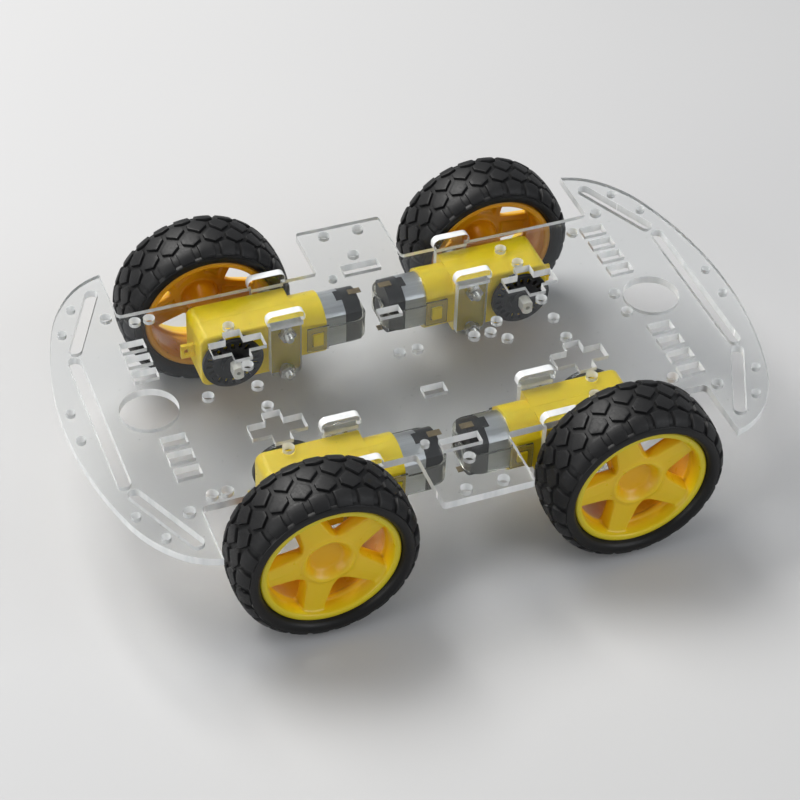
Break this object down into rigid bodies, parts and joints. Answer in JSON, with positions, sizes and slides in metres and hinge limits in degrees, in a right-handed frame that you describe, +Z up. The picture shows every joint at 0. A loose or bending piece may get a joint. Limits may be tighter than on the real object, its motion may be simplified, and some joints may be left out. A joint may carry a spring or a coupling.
{
  "type": "four wheel robot chassis",
  "caption": "Flat clear deck with mounting holes and slots, carried by yellow geared motors in clear clamp brackets, each driving a rubber tyred wheel.",
  "frame": {"origin": "on the ground, under the middle of the deck, midway between the four wheels", "axes": "+X towards the front end of the deck, +Y towards the left side, +Z up"},
  "size_m": [0.248, 0.1584, 0.065],
  "materials": {
    "acrylic": "clear cast acrylic, polished faces, bright sawn edges",
    "steel": "zinc plated steel",
    "brass": "stamped brass",
    "magnet": "dark ferrite",
    "bronze": "sintered bronze",
    "tyre": "dull black rubber, slightly grey on the tread",
    "rim_plastic": "deep yellow moulded plastic, half gloss",
    "gearbox_plastic": "bright yellow moulded plastic, half gloss",
    "motor_steel": "satin nickel plated steel can",
    "black_plastic": "black moulded plastic",
    "clip_plastic": "clear flexible plastic",
    "rotor_steel": "laminated steel and copper wire",
    "nylon": "off white nylon",
    "disc_plastic": "black moulded plastic disc"
  },
  "bodies": {
    "chassis": {"deck_plate": "acrylic", "inner_brackets": "acrylic", "outer_brackets": "acrylic", "clamp_screws": "steel", "clamp_nuts": "steel", "gearbox_screws": "steel", "gear_pins": "steel", "motor_terminals": "brass", "motor_magnets": "magnet", "motor_bushings": "bronze", "gearbox_outer_shell_front_left": "gearbox_plastic", "gearbox_inner_shell_front_left": "gearbox_plastic", "motor_can_front_left": "motor_steel", "motor_end_cap_front_left": "black_plastic", "motor_clip_front_left": "clip_plastic", "gearbox_outer_shell_front_right": "gearbox_plastic", "gearbox_inner_shell_front_right": "gearbox_plastic", "motor_can_front_right": "motor_steel", "motor_end_cap_front_right": "black_plastic", "motor_clip_front_right": "clip_plastic", "gearbox_outer_shell_rear_left": "gearbox_plastic", "gearbox_inner_shell_rear_left": "gearbox_plastic", "motor_can_rear_left": "motor_steel", "motor_end_cap_rear_left": "black_plastic", "motor_clip_rear_left": "clip_plastic", "gearbox_outer_shell_rear_right": "gearbox_plastic", "gearbox_inner_shell_rear_right": "gearbox_plastic", "motor_can_rear_right": "motor_steel", "motor_end_cap_rear_right": "black_plastic", "motor_clip_rear_right": "clip_plastic"},
    "wheel_front_left": {"tyre_front_left": "tyre", "wheel_rim_front_left": "rim_plastic", "output_shaft_front_left": "nylon", "encoder_disc_front_left": "disc_plastic"},
    "wheel_front_right": {"tyre_front_right": "tyre", "wheel_rim_front_right": "rim_plastic", "output_shaft_front_right": "nylon", "encoder_disc_front_right": "disc_plastic"},
    "wheel_rear_left": {"tyre_rear_left": "tyre", "wheel_rim_rear_left": "rim_plastic", "output_shaft_rear_left": "nylon", "encoder_disc_rear_left": "disc_plastic"},
    "wheel_rear_right": {"tyre_rear_right": "tyre", "wheel_rim_rear_right": "rim_plastic", "output_shaft_rear_right": "nylon", "encoder_disc_rear_right": "disc_plastic"},
    "idler_front_left": {"idler_gear_front_left": "nylon"},
    "crown_front_left": {"crown_gear_front_left": "nylon"},
    "rotor_front_left": {"motor_rotor_front_left": "rotor_steel"},
    "idler_front_right": {"idler_gear_front_right": "nylon"},
    "crown_front_right": {"crown_gear_front_right": "nylon"},
    "rotor_front_right": {"motor_rotor_front_right": "rotor_steel"},
    "idler_rear_left": {"idler_gear_rear_left": "nylon"},
    "crown_rear_left": {"crown_gear_rear_left": "nylon"},
    "rotor_rear_left": {"motor_rotor_rear_left": "rotor_steel"},
    "idler_rear_right": {"idler_gear_rear_right": "nylon"},
    "crown_rear_right": {"crown_gear_rear_right": "nylon"},
    "rotor_rear_right": {"motor_rotor_rear_right": "rotor_steel"}
  },
  "joints": [
    {"name": "wheel_spin_front_left", "type": "hinge", "parent": "chassis", "child": "wheel_front_left", "pos_m": [0.05575, 0.03985, 0.0325], "axis": [0, 1, 0], "continuous": true},
    {"name": "idler_spin_front_left", "type": "hinge", "parent": "chassis", "child": "idler_front_left", "pos_m": [0.04646, 0.03985, 0.03449], "axis": [0, 1, 0], "continuous": true},
    {"name": "crown_spin_front_left", "type": "hinge", "parent": "chassis", "child": "crown_front_left", "pos_m": [0.03925, 0.03985, 0.0325], "axis": [0, 1, 0], "continuous": true},
    {"name": "rotor_spin_front_left", "type": "hinge", "parent": "chassis", "child": "rotor_front_left", "pos_m": [0.01725, 0.03985, 0.0325], "axis": [1, 0, 0], "continuous": true},
    {"name": "wheel_spin_front_right", "type": "hinge", "parent": "chassis", "child": "wheel_front_right", "pos_m": [0.05575, -0.03985, 0.0325], "axis": [0, 1, 0], "continuous": true},
    {"name": "idler_spin_front_right", "type": "hinge", "parent": "chassis", "child": "idler_front_right", "pos_m": [0.04646, -0.03985, 0.03051], "axis": [0, 1, 0], "continuous": true},
    {"name": "crown_spin_front_right", "type": "hinge", "parent": "chassis", "child": "crown_front_right", "pos_m": [0.03925, -0.03985, 0.0325], "axis": [0, 1, 0], "continuous": true},
    {"name": "rotor_spin_front_right", "type": "hinge", "parent": "chassis", "child": "rotor_front_right", "pos_m": [0.01725, -0.03985, 0.0325], "axis": [1, 0, 0], "continuous": true},
    {"name": "wheel_spin_rear_left", "type": "hinge", "parent": "chassis", "child": "wheel_rear_left", "pos_m": [-0.05575, 0.03985, 0.0325], "axis": [0, 1, 0], "continuous": true},
    {"name": "idler_spin_rear_left", "type": "hinge", "parent": "chassis", "child": "idler_rear_left", "pos_m": [-0.04646, 0.03985, 0.03051], "axis": [0, 1, 0], "continuous": true},
    {"name": "crown_spin_rear_left", "type": "hinge", "parent": "chassis", "child": "crown_rear_left", "pos_m": [-0.03925, 0.03985, 0.0325], "axis": [0, 1, 0], "continuous": true},
    {"name": "rotor_spin_rear_left", "type": "hinge", "parent": "chassis", "child": "rotor_rear_left", "pos_m": [-0.01725, 0.03985, 0.0325], "axis": [1, 0, 0], "continuous": true},
    {"name": "wheel_spin_rear_right", "type": "hinge", "parent": "chassis", "child": "wheel_rear_right", "pos_m": [-0.05575, -0.03985, 0.0325], "axis": [0, 1, 0], "continuous": true},
    {"name": "idler_spin_rear_right", "type": "hinge", "parent": "chassis", "child": "idler_rear_right", "pos_m": [-0.04646, -0.03985, 0.03449], "axis": [0, 1, 0], "continuous": true},
    {"name": "crown_spin_rear_right", "type": "hinge", "parent": "chassis", "child": "crown_rear_right", "pos_m": [-0.03925, -0.03985, 0.0325], "axis": [0, 1, 0], "continuous": true},
    {"name": "rotor_spin_rear_right", "type": "hinge", "parent": "chassis", "child": "rotor_rear_right", "pos_m": [-0.01725, -0.03985, 0.0325], "axis": [1, 0, 0], "continuous": true}
  ],
  "couplings": [
    {"joint": "idler_spin_front_left", "follows": "wheel_spin_front_left", "ratio": -4},
    {"joint": "crown_spin_front_left", "follows": "wheel_spin_front_left", "ratio": 10.667},
    {"joint": "rotor_spin_front_left", "follows": "wheel_spin_front_left", "ratio": -48},
    {"joint": "idler_spin_front_right", "follows": "wheel_spin_front_right", "ratio": -4},
    {"joint": "crown_spin_front_right", "follows": "wheel_spin_front_right", "ratio": 10.667},
    {"joint": "rotor_spin_front_right", "follows": "wheel_spin_front_right", "ratio": 48},
    {"joint": "idler_spin_rear_left", "follows": "wheel_spin_rear_left", "ratio": -4},
    {"joint": "crown_spin_rear_left", "follows": "wheel_spin_rear_left", "ratio": 10.667},
    {"joint": "rotor_spin_rear_left", "follows": "wheel_spin_rear_left", "ratio": 48},
    {"joint": "idler_spin_rear_right", "follows": "wheel_spin_rear_right", "ratio": -4},
    {"joint": "crown_spin_rear_right", "follows": "wheel_spin_rear_right", "ratio": 10.667},
    {"joint": "rotor_spin_rear_right", "follows": "wheel_spin_rear_right", "ratio": -48}
  ]
}
